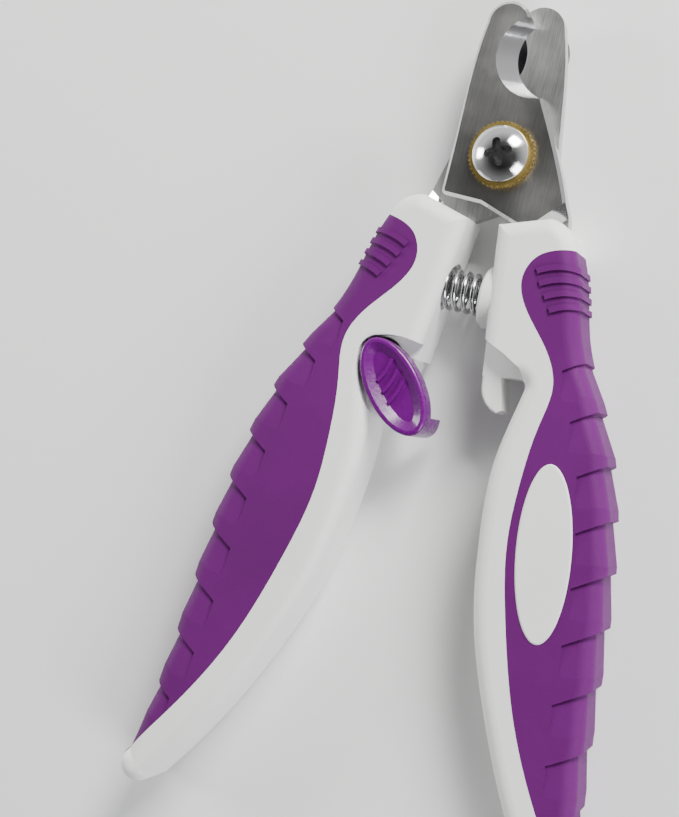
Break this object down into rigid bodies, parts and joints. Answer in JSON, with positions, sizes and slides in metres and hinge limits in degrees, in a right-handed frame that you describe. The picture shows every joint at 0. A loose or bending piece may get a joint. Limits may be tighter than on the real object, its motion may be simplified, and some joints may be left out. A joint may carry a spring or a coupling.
{
  "type": "pet nail clipper",
  "caption": "Plier-type pet nail clipper, held open by a spring, with notched steel blades, soft-grip handles, a nail guard and a lock lever.",
  "frame": {"origin": "middle of the bounding box at its base, with the clipper lying on its back and opened as in the picture", "axes": "+Z out of the front face, along the pivot; +Y from the handles towards the blade tips; +X to the right seen from the front"},
  "size_m": [0.0868, 0.153, 0.0138],
  "materials": {
    "blade_steel": "satin, cross-brushed stainless steel",
    "bright_steel": "polished",
    "spring_steel": "bright drawn wire",
    "zinc_steel": "zinc plated",
    "brass": "polished, knurled rim",
    "dark_steel": "blackened, satin",
    "white_plastic": "satin",
    "purple_rubber": "matte soft grip",
    "purple_plastic": "gloss"
  },
  "bodies": {
    "right_half": {"front_blade": "blade_steel", "pivot_screw": "bright_steel", "knurled_ring": "brass", "spring_washer": "zinc_steel", "lock_nut": "zinc_steel", "right_handle_core": "white_plastic", "right_grip": "purple_rubber", "oval_inlay": "white_plastic", "right_spring_cup": "white_plastic", "right_tang_pins": "zinc_steel", "spring": "spring_steel"},
    "left_half": {"rear_blade": "blade_steel", "rear_bush": "brass", "left_handle_core": "white_plastic", "left_grip": "purple_rubber", "left_spring_cup": "white_plastic", "left_tang_pins": "zinc_steel", "lever_pin": "zinc_steel"},
    "lock_lever": {"lock_lever": "purple_plastic"},
    "guard": {"guard_plate": "dark_steel"}
  },
  "joints": [
    {"name": "squeeze", "type": "hinge", "parent": "right_half", "child": "left_half", "pos_m": [0, 0.04912, 0.0067], "axis": [0, 0, 1], "range_deg": [-10, 14], "stiffness_Nm_per_rad": 0.35, "deforming": ["spring"]},
    {"name": "lever_swing", "type": "hinge", "parent": "left_half", "child": "lock_lever", "pos_m": [-0.01244, 0.01015, 0.0067], "axis": [0, 0, 1], "range_deg": [0, 30]},
    {"name": "guard_swing", "type": "hinge", "parent": "right_half", "child": "guard", "pos_m": [0, 0.04912, 0.0067], "axis": [0, 0, 1], "range_deg": [-50, 50]}
  ]
}
